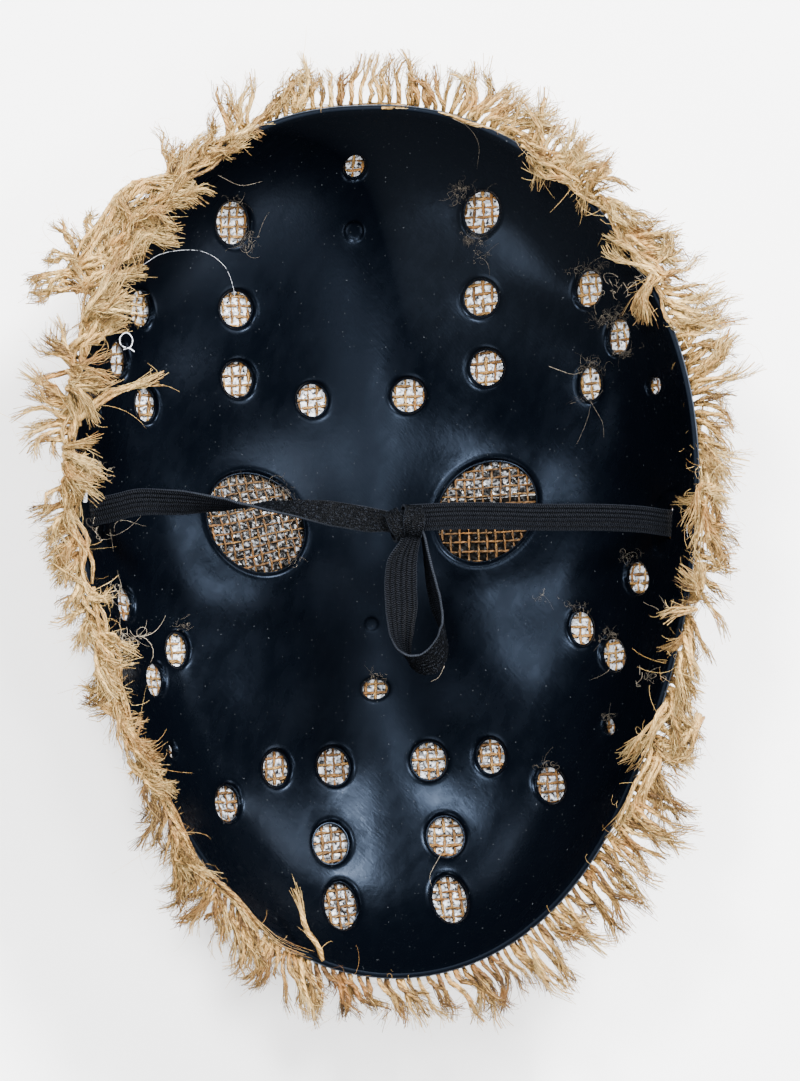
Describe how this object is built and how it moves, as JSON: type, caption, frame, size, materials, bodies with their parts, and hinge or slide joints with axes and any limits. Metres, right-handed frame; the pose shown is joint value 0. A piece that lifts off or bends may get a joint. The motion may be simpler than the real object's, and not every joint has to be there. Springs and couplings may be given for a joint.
{
  "type": "burlap-covered face mask",
  "caption": "Moulded plastic face mask with eye holes and vents, burlap glued over its outside with a frayed edge, and a knotted elastic strap, lying on its front.",
  "frame": {"origin": "on the surface below the mask, at the middle of its width and length", "axes": "+X the wearer's left to right, +Y chin to forehead, +Z from the face's front towards the wearer"},
  "size_m": [0.225, 0.2979, 0.0683],
  "materials": {
    "shell_plastic": "satin black moulded plastic",
    "burlap": "open plain weave of natural jute, frayed at the edge",
    "elastic": "braided black elastic"
  },
  "bodies": {
    "root": {"shell": "shell_plastic", "burlap_cover": "burlap", "elastic_strap": "elastic"}
  },
  "joints": []
}
